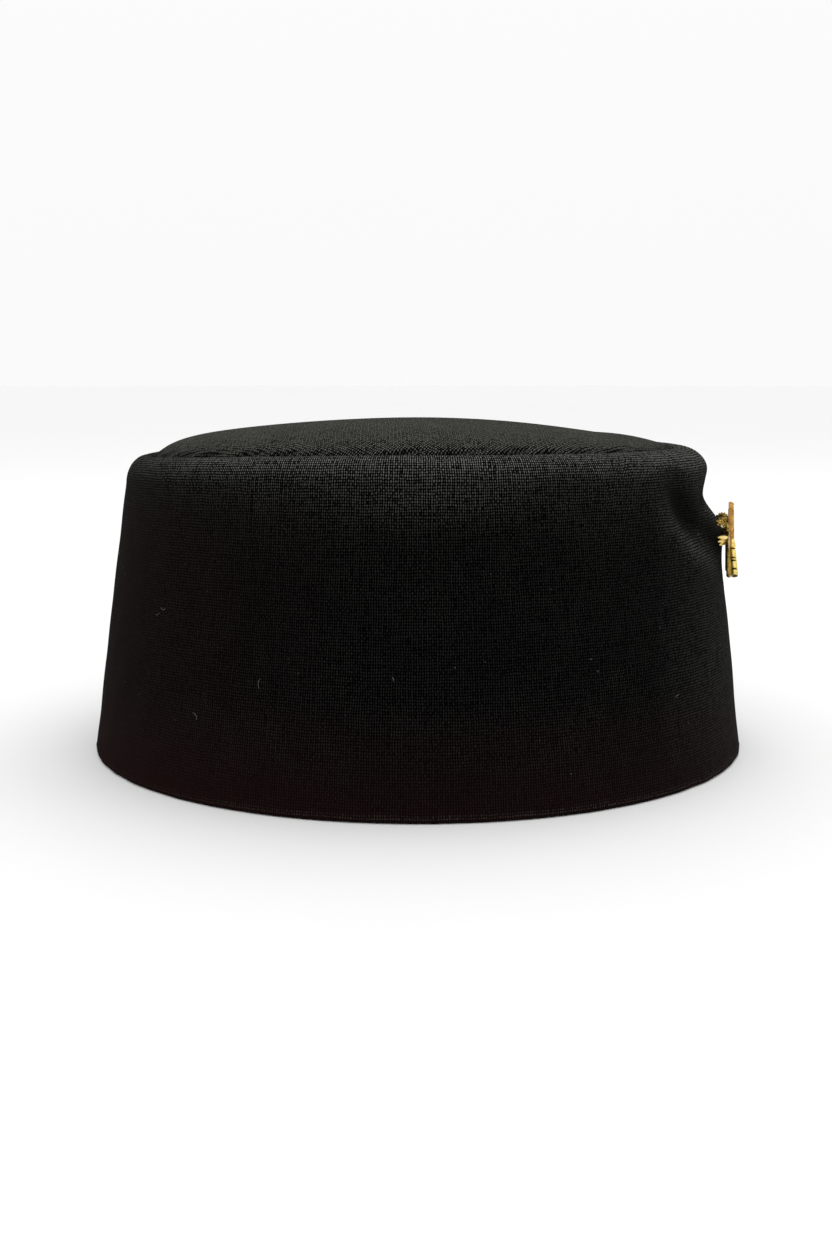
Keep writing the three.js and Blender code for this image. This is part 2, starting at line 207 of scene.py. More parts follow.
LOOK_AHEAD = 0.01  # step along the scroll that finds its direction
BEAD_RADIUS = 0.45
BEADS = 5
BEADS_FROM = 0.4
LEAF_ROOT = 8.6
LEAF_LENGTH = 8.6
LEAF_RADIUS = 0.65
LEAF_BEND = 21
LEAF_FULLEST = 0.72  # powers that put a leaf's fullest part nearer its root and blunt its ends
LEAF_BLUNT = 0.85
LEAF_RIB = 0.34  # depth and width of the groove along its middle
LEAF_RIB_WIDTH = 0.02
POST_RADIUS = 0.65
POST_LENGTH = 10.0
POST_TIP = 0.6  # share of its radius at the inner end
POST_CHAMFER = 0.4
SHARP_EDGE = 38  # edges of the casting that turn by more degrees than this stay sharp

# The blade's outline, as shares of BLADE_LENGTH: each row ends a curve that its control point bends
BLADE = (
    {"x": -0.055, "y": 0.45, "control_x": -0.07, "control_y": 0.2},
    {"x": 0.18, "y": 1.0, "control_x": -0.04, "control_y": 0.75},
    {"x": 0.13, "y": 0.5, "control_x": 0.27, "control_y": 0.7},
    {"x": 0.06, "y": 0.0, "control_x": 0.03, "control_y": 0.28},
)
# The blade's section from back to front: up as a share of BLADE_THICKNESS, inward in millimetres
BLADE_SECTION = (
    {"up": 0.0, "inward": 0.3},
    {"up": 0.14, "inward": 0.06},
    {"up": 0.34, "inward": 0.0},
    {"up": 0.6, "inward": 0.05},
    {"up": 0.8, "inward": 0.2},
    {"up": 0.93, "inward": 0.42},
    {"up": 1.0, "inward": 0.75},
)
# The turned grip, as shares of GRIP_RADIUS and GRIP_LENGTH
GRIP = tuple(
    {"radius": radius, "along": along}
    for radius, along in (
        (0, 0), (0.8, 0.02), (0.98, 0.12), (0.92, 0.26), (0.5, 0.275), (0.5, 0.305), (0.96, 0.32),
        (0.96, 0.52), (0.5, 0.535), (0.5, 0.555), (1, 0.57), (1, 0.595), (0.5, 0.61), (0.5, 0.63),
        (0.97, 0.645), (1, 0.82), (0.5, 0.835), (0.5, 0.86), (0.98, 0.875), (0.9, 1), (0, 1),
    )
)
# The scroll's curve: out as a share of PLATE_LENGTH, up of BLADE_LENGTH, back of BADGE_STANDOFF
SCROLL = (
    {"out": 0.08, "up": 0.06, "back": 0.1},
    {"out": 0.27, "up": 0.58, "back": 0.0},
    {"out": 0.34, "up": 0.37, "back": 1.7},
)
# The leaves of a fan: rise in degrees, up as a share of PLATE_HEIGHT, share of LEAF_LENGTH
LEAVES = (
    {"rise": 7, "up": 0.3, "share": 1.0},
    {"rise": 1, "up": 0.2, "share": 1.0},
    {"rise": -4, "up": 0.1, "share": 0.87},
)

# Metals: size of the grain and depth of its relief in millimetres, and a darker colour for the hollows
METALS = {
    "bright_gilt": {
        "colour": (1.0, 0.84, 0.3, 1), "hollow": (0.62, 0.4, 0.08, 1),
        "roughness": 0.3, "grain": 0.3, "depth": 0.02,
    },
    "warm_gilt": {
        "colour": (0.94, 0.68, 0.24, 1), "hollow": (0.5, 0.27, 0.07, 1),
        "roughness": 0.9, "grain": 0.3, "depth": 0.02,
    },
    "aged_gilt": {
        "colour": (0.62, 0.44, 0.1, 1), "hollow": (0.09, 0.045, 0.012, 1),
        "roughness": 0.26, "grain": 0.35, "depth": 0.05,
    },
    # Near-black gilt for painted shade in the grip's grooves
    "groove_shade_gilt": {
        "colour": (0.1, 0.055, 0.015, 1), "hollow": (0.03, 0.015, 0.006, 1),
        "roughness": 0.26, "grain": 0.5, "depth": 0.02,
    },
    "satin_clutch": {
        "colour": (0.62, 0.56, 0.44, 1), "hollow": (0.4, 0.34, 0.25, 1),
        "roughness": 0.3, "grain": 0.6, "depth": 0.02,
    },
}
FINISHES = ("bright_gilt", "warm_gilt", "aged_gilt", "groove_shade_gilt")
BRIGHT, WARM, AGED, GROOVE_SHADE = range(len(FINISHES))
TONE_FINENESS = 0.25  # the slow change of tone beside the grain
TONE_CONTRAST = 1.6
TONE_FLOOR = 1.1
GRAIN_ROUGHNESS = 0.2

# Threads and colours of the cloth
WARP_PITCH = 0.64  # threads that run up the band
WEFT_PITCH = 0.77
THREAD_WANDER = 0.9
THREAD_JITTER = 0.34
RELIEF_DEPTH = 0.14
# Noise of the cloth: waves per millimetre across and along the warp
CLOTH_NOISE = {
    "wander": {"across": 0.16, "along": 0.16, "detail": 3.0, "roughness": 0.5},
    "jitter": {"across": 1.3, "along": 1.3, "detail": 2.0, "roughness": 0.5},
    "warp_slub": {"across": 1.5, "along": 0.07, "detail": 3.0, "roughness": 0.6},
    "weft_slub": {"across": 0.09, "along": 1.3, "detail": 2.0, "roughness": 0.5},
    "grain": {"across": 1.5, "along": 1.5, "detail": 2.0, "roughness": 0.7},
    "patch": {"across": 0.03, "along": 0.03, "detail": 5.0, "roughness": 0.72},
}
# Shares of the weave's relief
WEAVE = {
    "warp": 1.1,
    "alternate": 0.13,  # every other warp thread
    "gap": 0.75,  # between two dots of a warp thread
    "gap_floor": 0.28,
    "over": 0.13,  # where the warp lies over the weft
    "warp_slub": 1.0,
    "weft_slub": 0.8,
    "grain": 1.224,
    "speckle": 0.731,
    "base": -0.85,
}
LIFT_CONTRAST = 1.7  # how sharply the painted highlight on the thread's top stands out from the painted shade of the gaps, in colour
LIFT_FLOOR = 0.42
# Colours of the weave: painted shade in the gaps between threads, and the black thread with a painted
# highlight on its top
PAINTED_GAP_SHADE = (0.0004, 0.0004, 0.0004, 1)
THREAD_AND_HIGHLIGHT = (0.0115, 0.0112, 0.011, 1)
# Painted reflection of a warm surface, a russet tint
WARM_REFLECTION_TINT = (0.0118, 0.0043, 0.004, 1)
WARM_REFLECTION_SHARE = 0.5  # share of the painted warm reflection, a russet tint, at the rim and behind
WARM_REFLECTION_HEIGHT = 0.32 * BAND_HEIGHT
WARM_REFLECTION_FROM = RIM_LENGTH / 15
WARM_REFLECTION_SPREAD = RIM_LENGTH / 1.5
PAINTED_SHADE_STRENGTH = 0.9
CLOTH_SURFACE = {
    "Roughness": 0.9,
    "Specular IOR Level": 0.01,
    "Sheen Roughness": 0.45,
    "Sheen Tint": (0.8, 0.83, 0.74, 1),
}

# Each cloth: turn of its threads in degrees, its dust and painted top light, how much cleaner it is behind,
# and its sheen
CLOTHS = {
    "band": {
        "turn": 0, "dust_and_light": 0.78, "dust_and_light_colour": (0.18, 0.184, 0.162, 1), "back_clean": 0.55, "sheen": 0.009,
    },
    "panel": {
        "turn": 38, "dust_and_light": 0.6, "dust_and_light_colour": (0.18, 0.187, 0.153, 1), "back_clean": 0.0, "sheen": 0.03,
    },
}

# Where the dust and the painted top light lie
DUST_AND_LIGHT_POWER = 1.6  # above 1, the dust and painted top light keep to the highest threads
DUST_AND_LIGHT_GAIN = 1.3
UPWARD_DUST_AND_LIGHT = 1.15  # dust of cloth that faces up, with painted top light that brightens it
UPWARD_FROM = 0.13
PATCH_DUST = 0.12
PATCH_FLOOR = 0.05
TOP_DUST = 0.4  # patches of dust beside the seam, and how far down the wall they thin out
TOP_DUST_FALL = 6.5
FRONT_DUST = 0.2  # dust of the front wall, from this far forward
FRONT_DUST_FROM = 63.0
FRONT_DUST_SPREAD = 30.0
SIDE_DUST = 0.21  # dust in the middle of each side, round this height
SIDE_DUST_HEIGHT = 81.0
SIDE_DUST_LENGTH = 20.0
SIDE_DUST_TALL = 6.5
INSIDE_DUST = 0.16
INSIDE_EDGE = 40.0  # how sharply that begins
BACK_CLEAN_FROM = 55.0  # the back of the band is cleaner, from this far back
BACK_CLEAN_SPREAD = 25.0

# Lint on the band, fibres and specks: length and radius in millimetres
LINT = (
    {"count": 34, "length": (0.8, 3.2), "radius": (0.03, 0.05), "steps": 9},
    {"count": 80, "length": (0.1, 0.3), "radius": (0.05, 0.09), "steps": 4},
)
LINT_PLACE = (0.1, 0.9)  # lowest and highest, as shares of SHOULDER
LINT_CURL = 2.5  # in radians
LINT_LIFT = 0.0875  # how far its free end may stand off, as a share of its length
LINT_TIP = 0.25  # angle that its rounded ends start at
LINT_DARK = (0.06, 0.055, 0.05, 1)
LINT_PALE = (0.3, 0.28, 0.26, 1)
LINT_TONE_SCALE = 180.0

# The stage, in metres
FLOOR_RADIUS = 30.0
FLOOR_DARK = (0.93, 0.93, 0.93, 1)
FLOOR_PALE = (0.95, 0.95, 0.95, 1)
FLOOR_MOTTLE = 3.0  # patches per metre
LIGHT_PLACE = (0.25, 0.1, 1.3)
LIGHT_TARGET = (0, 0, 0.05)
LIGHT_SIZE = 0.9
LIGHT_POWER = 4
HORIZON = (0.955, 0.955, 0.955, 1)
ZENITH = (1.0, 1.0, 1.0, 1)

# Fineness of the meshes
SEGMENTS = 560
WALL_ROWS = 64
ROLL_ROWS = 22
DIP_ROWS = 7
INNER_WALL_ROWS = 30
INNER_ROLL_ROWS = 8
INNER_DIP_ROWS = 2
RIM_ROWS = 5
PANEL_RINGS = 62
UNDER_RINGS = 20
BLADE_STEPS = 14
GRIP_STEPS = 4
GRIP_SIDES = 24
SCROLL_STEPS = 25
SCROLL_SIDES = 14
LEAF_STEPS = 16
LEAF_SIDES = 20
PLATE_RINGS = 18
PLATE_SIDES = 40
LINT_SIDES = 5
FLOOR_SIDES = 96

BASE_RADIUS = RIM_WIDTH / 2
EXTRA_LENGTH = (RIM_LENGTH - RIM_WIDTH) / 2
SHOULDER = BAND_HEIGHT - ROLL_HEIGHT
SEAM_RADIUS = BASE_RADIUS - BAND_LEAN - TURN_IN
SEAM_HEIGHT = BAND_HEIGHT - CREASE_DEPTH

chance = np.random.default_rng(7)


def smoothstep(x, low, high):
    share = np.clip((x - low) / (high - low), 0, 1)
    return share * share * (3 - 2 * share)


def bell(x):
    """1 at 0, and falling to both sides."""
    return np.exp(-(x**2))


def form(column, t):
    """A value of the FORM table in direction t, counted from the front."""
    end = np.where(np.cos(t) > 0, FORM["front"][column], FORM["back"][column])
    side = FORM["side"][column]
    return side + (end - side) * np.cos(t) ** 2


def uneven(name, t):
    """A smooth closed random line round the cap, from the UNEVEN table."""
    row = UNEVEN[name]
    dice = np.random.default_rng(row["seed"])
    line = np.zeros_like(t)
    for count in row["waves"]:
        line = line + dice.uniform(0.4, 1) * np.cos(count * t + dice.uniform(0, 2 * math.pi))
    return row["size"] * line / math.sqrt(len(row["waves"]))


def push_in(t, z):
    """How far the folds and waves push the wall in, in direction t and at height z."""
    push = np.zeros_like(t * z)
    for fold in FOLDS:
        turn = t - math.radians(fold["angle"])
        side = (BASE_RADIUS - BAND_LEAN) * np.arctan2(np.sin(turn), np.cos(turn))
        up = z - fold["height"] * BAND_HEIGHT
        tilt = math.radians(fold["tilt"])
        along = (side * math.cos(tilt) + up * math.sin(tilt)) / (fold["along"] * FOLD_LENGTH)
        bow = fold["bend"] * FOLD_LENGTH * along**2
        across = (up * math.cos(tilt) - side * math.sin(tilt) - bow) / (fold["across"] * FOLD_LENGTH)
        push = push + fold["depth"] * FOLD_DEPTH * np.exp(-(along**2) - across**2)
    belly = np.sin(math.pi * np.clip(z / BAND_HEIGHT, 0, 1))
    for wave in WOBBLES:
        swing = np.cos(wave["waves"] * t + math.radians(wave["phase"]))
        push = push + WOBBLE * wave["share"] * belly * swing
    above_rim = smoothstep(z, 0, SHOULDER / 3)
    return push * above_rim * (1 - smoothstep(z, SHOULDER, SEAM_HEIGHT - BAND_WALL))


def pucker(t, inward):
    """The slanting gathers of the panel's edge, from 0 to 1, at a distance in from the seam."""
    turns = PUCKERS * t / (2 * math.pi) + uneven("pucker_spacing", t)
    phase = turns - np.floor(turns)
    line = PUCKER_FROM + PUCKER_RISE * phase
    strength = smoothstep(phase, 0, PUCKER_START) * (1 - phase) ** PUCKER_FADE
    strength = strength * np.clip(PUCKER_STRENGTH + uneven("pucker_strength", t), 0, 1)
    return strength * bell((inward - line) / PUCKER_WIDTH)


def gather(t):
    """The short gathers of the band, from 0 to 1, strongest beside the front corners of the panel."""
    wave = np.maximum(0, np.cos(ROLL_GATHERS * t / 2 + uneven("gather_spacing", t))) ** GATHER_SHARPNESS
    from_front = np.abs(np.arctan2(np.sin(t), np.cos(t)))
    return wave * (GATHER_ELSEWHERE + bell((from_front - GATHER_CORNER) / GATHER_SPREAD))


def badge_shadow(t, z):
    """The painted shadow on the cloth beside the badge, from 0 to 1."""
    along = BASE_RADIUS * (t - math.radians(BADGE_SHADOW_ANGLE))
    above = z - BADGE_SHADOW_HEIGHT + BADGE_SHADOW_TILT * along
    return bell(along / BADGE_SHADOW_LENGTH) * bell(above / BADGE_SHADOW_TALL)


def lumps(x, y):
    """The rise of the panel's soft lumps at (x, y)."""
    rise = np.zeros_like(x)
    for lump in LUMPS:
        away = np.hypot(x - lump["x"] * RIM_LENGTH, y - lump["y"] * RIM_WIDTH)
        rise = rise + PANEL_RISE * lump["rise"] * bell(away / (lump["radius"] * RIM_LENGTH))
    return rise


def add_mesh(name, verts, faces, materials=()):
    """A smooth-shaded mesh object from vertices in millimetres."""
    mesh = bpy.data.meshes.new(name)
    mesh.from_pydata((np.asarray(verts) * MM).tolist(), [], faces)
    mesh.polygons.foreach_set("use_smooth", [True] * len(mesh.polygons))
    for made in materials:
        mesh.materials.append(made)
    mesh.update()
    piece = bpy.data.objects.new(name, mesh)
    bpy.context.scene.collection.objects.link(piece)
    return piece


def cloth_mesh(name, points, uv, painted_shade, next_u, close_rows=False, poles=False):
    """Cloth from rings of points, shape (rings, segments, 3), with flat coordinates uv, all in millimetres.

    painted_shade, the painted shade, is 1 at the bottom of a crease. next_u is the first coordinate where the
    ring closes. close_rows joins the last ring to the first, and poles closes both to a point."""
    rings, segments = points.shape[:2]
    index = np.arange(rings * segments).reshape(rings, segments)
    last = rings if close_rows else rings - 1

    def corners(grid, wrap):
        beside = np.roll(grid, -1, axis=1)
        if wrap is not None:
            beside[:, -1, 0] = wrap
        four = [grid, beside, np.roll(beside, -1, axis=0), np.roll(grid, -1, axis=0)]
        return np.stack(four, 2)[:last]

    faces = corners(index, None).reshape(-1, 4).tolist()
    loops = corners(uv, next_u).reshape(-1, 2)
    verts = points.reshape(-1, 3)
    if poles:
        middles = (points[0].mean(axis=0), points[-1].mean(axis=0))
        verts = np.concatenate([verts, middles])
        ends = []
        for end, middle in enumerate(middles):
            ring = 0 if end == 0 else rings - 1
            for s in range(segments):
                pair = (s, (s + 1) % segments)
                first, second = pair if end else pair[::-1]
                faces.append([rings * segments + end, int(index[ring, first]), int(index[ring, second])])
                ends += [middle[:2], points[ring, first, :2], points[ring, second, :2]]
        loops = np.concatenate([loops, np.array(ends)])
    piece = add_mesh(name, verts, faces)
    layer = piece.data.uv_layers.new(name="cloth")
    layer.data.foreach_set("uv", loops.astype(np.float32).ravel())
    shade = np.zeros(len(verts), dtype=np.float32)
    shade[:painted_shade.size] = painted_shade.ravel()
    piece.data.attributes.new("painted_shade", "FLOAT", "POINT").data.foreach_set("value", shade)
    return piece


def face_profile(depth, wall_rows, roll_rows, dip_rows):
    """Radius and height of one face of the band from the rim to the seam, the face lying depth inside."""
    rise = np.linspace(0, 1, wall_rows + 1)
    crest = SEAM_RADIUS + CREASE_WIDTH
    turn = np.linspace(0, math.pi / 2, roll_rows + 1)[1:]
    dip = np.linspace(0, 1, dip_rows + 1)[1:]
    across = BASE_RADIUS - BAND_LEAN - depth - crest
    radius = np.concatenate([
        BASE_RADIUS - depth - BAND_LEAN * rise,
        crest + across * np.cos(turn),
        crest + (SEAM_HALF_GAP - CREASE_WIDTH) * dip,
    ])
    height = np.concatenate([
        SHOULDER * rise,
        SHOULDER + (ROLL_HEIGHT - depth) * np.sin(turn),
        BAND_HEIGHT - depth - CREASE_DEPTH * dip**2,
    ])
    return radius, height


def band_points(radius, height, t, fine):
    """Places points of the plain profile in direction t. fine is 1 where the sewing shows and 0 inside."""
    lean = BAND_LEAN * (form("lean", t) - 1) * np.minimum(height / SHOULDER, 1)
    rolled = np.clip((BASE_RADIUS - BAND_LEAN - radius) / TURN_IN, 0, 1)
    turn_in = TURN_IN * (form("turn_in", t) - 1) * rolled
    kept = radius - lean - turn_in - push_in(t, height)
    tack = np.maximum(0, np.cos(HEM_TACKS * t / 2 + uneven("tack_spacing", t))) ** TACK_SHARPNESS
    kept = kept - fine * TACK_DEPTH * tack * bell((height - TACK_HEIGHT) / TACK_SPREAD)
    from_back = np.arctan2(np.sin(t - math.pi), np.cos(t - math.pi)) * BASE_RADIUS
    back_seam = BACK_SEAM_DEPTH * bell(from_back / BACK_SEAM_WIDTH)
    kept = kept - fine * back_seam * smoothstep(height, 0, BACK_SEAM_START)
    for ripple in ripples:
        kept = kept + fine * RIPPLE * np.cos(ripple["waves"] * t + ripple["rows"] * height + ripple["phase"])
    to_seam = np.maximum(radius - SEAM_RADIUS, 0)
    dip = SEAM_SINK * np.exp(-to_seam / SEAM_SOFT)
    dip = dip + GATHER_DEPTH * gather(t) * np.exp(-to_seam / GATHER_LENGTH)
    z = height * form("height", t) - fine * (height > SHOULDER) * dip
    return np.stack([(kept + EXTRA_LENGTH) * np.cos(t), kept * np.sin(t), z], -1)


def profile_length(radius, height):
    """How far along its profile each point lies."""
    steps = np.hypot(np.diff(radius), np.diff(height))
    return np.concatenate([[0], np.cumsum(steps)])


directions = np.linspace(-math.pi, math.pi, SEGMENTS + 1)
middle_radius = BASE_RADIUS - BAND_LEAN / 2
arc = profile_length((middle_radius + EXTRA_LENGTH) * np.cos(directions), middle_radius * np.sin(directions))
arc_end = arc[-1]
directions, arc = directions[:-1], arc[:-1]
ripples = [
    {
        "waves": int(chance.integers(*RIPPLE_WAVES)),
        "rows": chance.uniform(-RIPPLE_SLANT, RIPPLE_SLANT),
        "phase": chance.uniform(0, 2 * math.pi),
    }
    for _ in range(RIPPLES)
]


def make_band():
    """The doubled cloth of the side, from its folded rim up to the seam outside and back down inside."""
    outer_radius, outer_height = face_profile(0, WALL_ROWS, ROLL_ROWS, DIP_ROWS)
    inner_radius, inner_height = face_profile(BAND_WALL, INNER_WALL_ROWS, INNER_ROLL_ROWS, INNER_DIP_ROWS)
    turn = np.linspace(0, math.pi, RIM_ROWS + 2)
    half = BAND_WALL / 2
    keep_outer = outer_height > half
    keep_inner = inner_height > half
    radius = np.concatenate([BASE_RADIUS - half - half * np.cos(turn), outer_radius[keep_outer]])
    height = np.concatenate([half * (1 - np.sin(turn)), outer_height[keep_outer]])
    inner_radius = inner_radius[keep_inner][::-1]
    inner_height = inner_height[keep_inner][::-1]
    outside = band_points(radius[:, None], height[:, None], directions, 1)
    inside = band_points(inner_radius[:, None], inner_height[:, None], directions, 0)
    length = np.concatenate([profile_length(radius, height), inner_height])
    uv = np.stack(np.broadcast_arrays(arc[None, :], length[:, None]), -1).astype(float)
    # Painted shade in the seam, the gathers and the deep hollows, and a painted shadow beside the badge
    to_seam = np.maximum(radius - SEAM_RADIUS, 0)[:, None]
    gathers = GATHER_SHADE * gather(directions) * np.exp(-to_seam / GATHER_LENGTH)
    on_roll = (height > SHOULDER)[:, None]
    seam_shade = np.clip(np.exp(-to_seam / CREASE_SHADE) + gathers, 0, 1) * on_roll
    hollow = np.clip(push_in(directions, height[:, None]) / HOLLOW_DEPTH, 0, 1)
    # Painted shadow on the cloth beside the badge
    badge_shadow_shade = BADGE_SHADOW_DARKNESS * badge_shadow(directions, height[:, None]) * ~on_roll
    shade = np.maximum(np.maximum(seam_shade, HOLLOW_SHADE * hollow), badge_shadow_shade)
    painted_shade = np.concatenate([shade, np.zeros(inside.shape[:2])])
    return cloth_mesh("band_cloth", np.concatenate([outside, inside]), uv, painted_shade, arc_end, close_rows=True)


def make_panel():
    """The crown panel, its edge eased into the seam."""
    edge = SEAM_RADIUS - SEAM_HALF_GAP
    top_share = np.sin(np.linspace(0, math.pi / 2, PANEL_RINGS + 1)[1:])
    under_share = np.sin(np.linspace(0, math.pi / 2, UNDER_RINGS + 1)[1:])
    share = np.concatenate([under_share, top_share[::-1]])[:, None]
    upper = np.concatenate([np.zeros(len(under_share)), np.ones(len(top_share))])[:, None]
    t = directions
    inset_by = BAND_LEAN * (form("lean", t) - 1) + TURN_IN * (form("turn_in", t) - 1)
    kept = (edge - inset_by) * share
    x = (kept + EXTRA_LENGTH * share) * np.cos(t)
    y = kept * np.sin(t)
    seam = SEAM_HEIGHT * (1 + (form("height", t) - 1) * share**SLOPE_POWER)
    edge_puff = EDGE_PUFF * form("edge_puff", t) * (1 - share**EDGE_POWER)
    puff = PANEL_RISE * (1 - share ** form("puff_power", t)) + edge_puff
    from_edge = edge * (1 - share)
    sink = SEAM_SINK * np.exp(-from_edge / SEAM_SOFT)
    folds = pucker(t, from_edge)
    z = seam + puff + lumps(x, y) - upper * (sink + PUCKER_DEPTH * folds) - (1 - upper) * PANEL_WALL
    points = np.stack([x, y, z], -1)
    # Painted shade in the seam, the puckers and the panel's edge strip
    strip = STRIP_SHADE * bell(from_edge / STRIP_WIDTH)
    painted_shade = upper * np.clip(np.exp(-from_edge / CREASE_SHADE) + strip + folds, 0, 1)
    return cloth_mesh("panel_cloth", points, points[..., :2].copy(), painted_shade, None, poles=True)


def material(name):
    """A new material, its node tree and its shader."""
    made = bpy.data.materials.new(name)
    made.use_nodes = True
    return made, made.node_tree, made.node_tree.nodes["Principled BSDF"]


def feed(tree, socket, value):
    """Sets a socket to a number, colour or vector, or links it."""
    if isinstance(value, (int, float, tuple)):
        socket.default_value = value
    else:
        tree.links.new(value, socket)


def math_node(tree, operation, *values, clamp=False):
    node = tree.nodes.new("ShaderNodeMath")
    node.operation = operation
    node.use_clamp = clamp
    for socket, value in zip(node.inputs, values):
        feed(tree, socket, value)
    return node.outputs[0]


def vector_node(tree, operation, *values, output="Vector"):
    node = tree.nodes.new("ShaderNodeVectorMath")
    node.operation = operation
    for socket, value in zip(node.inputs, values):
        feed(tree, socket, value)
    return node.outputs[output]


def separate(tree, vector):
    """The x, y and z of a vector."""
    node = tree.nodes.new("ShaderNodeSeparateXYZ")
    tree.links.new(vector, node.inputs[0])
    return tuple(node.outputs)


def past(tree, place, start, spread, clamp=False):
    """How many spreads a place, in metres, lies past the start. Both are in millimetres."""
    return math_node(tree, "MULTIPLY_ADD", place, 1 / (spread * MM), -start / spread, clamp=clamp)


def noise(tree, vector, scale, detail=2.0, roughness=0.5, output="Fac"):
    node = tree.nodes.new("ShaderNodeTexNoise")
    node.inputs["Scale"].default_value = scale
    node.inputs["Detail"].default_value = detail
    node.inputs["Roughness"].default_value = roughness
    tree.links.new(vector, node.inputs["Vector"])
    return node.outputs[output]


def mix_colour(tree, share, first, second):
    """A mix of two colours. Inputs 6 and 7 of the node are its colours, and output 2 is the result."""
    node = tree.nodes.new("ShaderNodeMix")
    node.data_type = "RGBA"
    feed(tree, node.inputs["Factor"], share)
    feed(tree, node.inputs[6], first)
    feed(tree, node.inputs[7], second)
    return node.outputs[2]


def cloth_noise(tree, flat, name, output="Fac"):
    """Noise of the CLOTH_NOISE table over flat coordinates in millimetres."""
    row = CLOTH_NOISE[name]
    stretched = vector_node(tree, "MULTIPLY", flat, (row["across"], row["along"], 1.0))
    return noise(tree, stretched, 1.0, row["detail"], row["roughness"], output)


def bump(tree, shader, height, depth):
    """Relief of that depth in millimetres."""
    node = tree.nodes.new("ShaderNodeBump")
    node.inputs["Strength"].default_value = 1.0
    node.inputs["Distance"].default_value = depth * MM
    tree.links.new(height, node.inputs["Height"])
    tree.links.new(node.outputs[0], shader.inputs["Normal"])


def weave(tree, flat):
    """The relief of a plain weave over flat coordinates in millimetres, each crossing a dot."""
    line = flat
    for name, reach in (("wander", THREAD_WANDER), ("jitter", THREAD_JITTER)):
        shift = cloth_noise(tree, flat, name, "Color")
        line = vector_node(tree, "MULTIPLY_ADD", shift, (reach, reach, 0), line)
    warp_wave, weft_wave = (
        math_node(tree, "SINE", math_node(tree, "MULTIPLY", place, math.pi / pitch))
        for place, pitch in zip(separate(tree, line), (WARP_PITCH, WEFT_PITCH))
    )
    # The gaps beside the warp are deeper than those beside the weft, and every other warp thread is fuller.
    warp = math_node(tree, "MULTIPLY", math_node(tree, "MULTIPLY", warp_wave, warp_wave),
                     math_node(tree, "MULTIPLY_ADD", warp_wave, WEAVE["alternate"], WEAVE["warp"]))
    weft = math_node(tree, "MULTIPLY_ADD", math_node(tree, "MULTIPLY", weft_wave, weft_wave),
                     WEAVE["gap"], WEAVE["gap_floor"])
    over = math_node(tree, "MULTIPLY", warp_wave, weft_wave)
    dot = math_node(tree, "MULTIPLY_ADD", over, WEAVE["over"], math_node(tree, "MULTIPLY", warp, weft))
    # Threads are thicker and thinner along their length, and no two crossings stand equally high.
    counted = vector_node(tree, "MULTIPLY", line, (1 / WARP_PITCH, 1 / WEFT_PITCH, 0))
    speckle = tree.nodes.new("ShaderNodeTexWhiteNoise")
    tree.links.new(vector_node(tree, "FLOOR", counted), speckle.inputs["Vector"])
    full = math_node(tree, "MULTIPLY_ADD", speckle.outputs["Value"], WEAVE["speckle"], WEAVE["base"])
    for name in ("warp_slub", "weft_slub", "grain"):
        full = math_node(tree, "MULTIPLY_ADD", cloth_noise(tree, flat, name), WEAVE[name], full)
    return math_node(tree, "MULTIPLY", dot, full)


def dust_and_top_light_cover(tree, flat, normal, coords):
    """How thickly dust and painted top light lie where the cloth faces up, dust thinly by place, and how near
    the seam that is.
    """
    # Painted top light: cloth that faces up turns towards the dust colour, partly dust and partly light from
    # above
    facing_up_dust_and_light = math_node(tree, "MULTIPLY_ADD", separate(tree, normal)[2], UPWARD_DUST_AND_LIGHT, -UPWARD_FROM, clamp=True)
    x, _, z = separate(tree, coords)
    near_top = math_node(tree, "POWER", math.e,
                         math_node(tree, "MINIMUM", past(tree, z, SHOULDER, TOP_DUST_FALL), 0.0))
    patch = cloth_noise(tree, flat, "patch")
    thin = math_node(tree, "MULTIPLY_ADD", patch, PATCH_DUST, -PATCH_FLOOR, clamp=True)
    thin = math_node(tree, "MULTIPLY_ADD", near_top, math_node(tree, "MULTIPLY", patch, TOP_DUST), thin)
    forward = past(tree, x, FRONT_DUST_FROM, FRONT_DUST_SPREAD, clamp=True)
    thin = math_node(tree, "MULTIPLY_ADD", forward, FRONT_DUST, thin)
    along = past(tree, x, 0, SIDE_DUST_LENGTH)
    above = past(tree, z, SIDE_DUST_HEIGHT, SIDE_DUST_TALL)
    away = math_node(tree, "ADD", math_node(tree, "POWER", along, 2.0), math_node(tree, "POWER", above, 2.0))
    middle = math_node(tree, "POWER", math.e, math_node(tree, "MULTIPLY", away, -1.0))
    thin = math_node(tree, "MULTIPLY_ADD", middle, SIDE_DUST, thin)
    outward = vector_node(tree, "DOT_PRODUCT", normal, coords, output="Value")
    inside = math_node(tree, "MULTIPLY", outward, -INSIDE_EDGE, clamp=True)
    thin = math_node(tree, "MULTIPLY_ADD", inside, INSIDE_DUST, thin)
    return math_node(tree, "ADD", facing_up_dust_and_light, thin, clamp=True), near_top


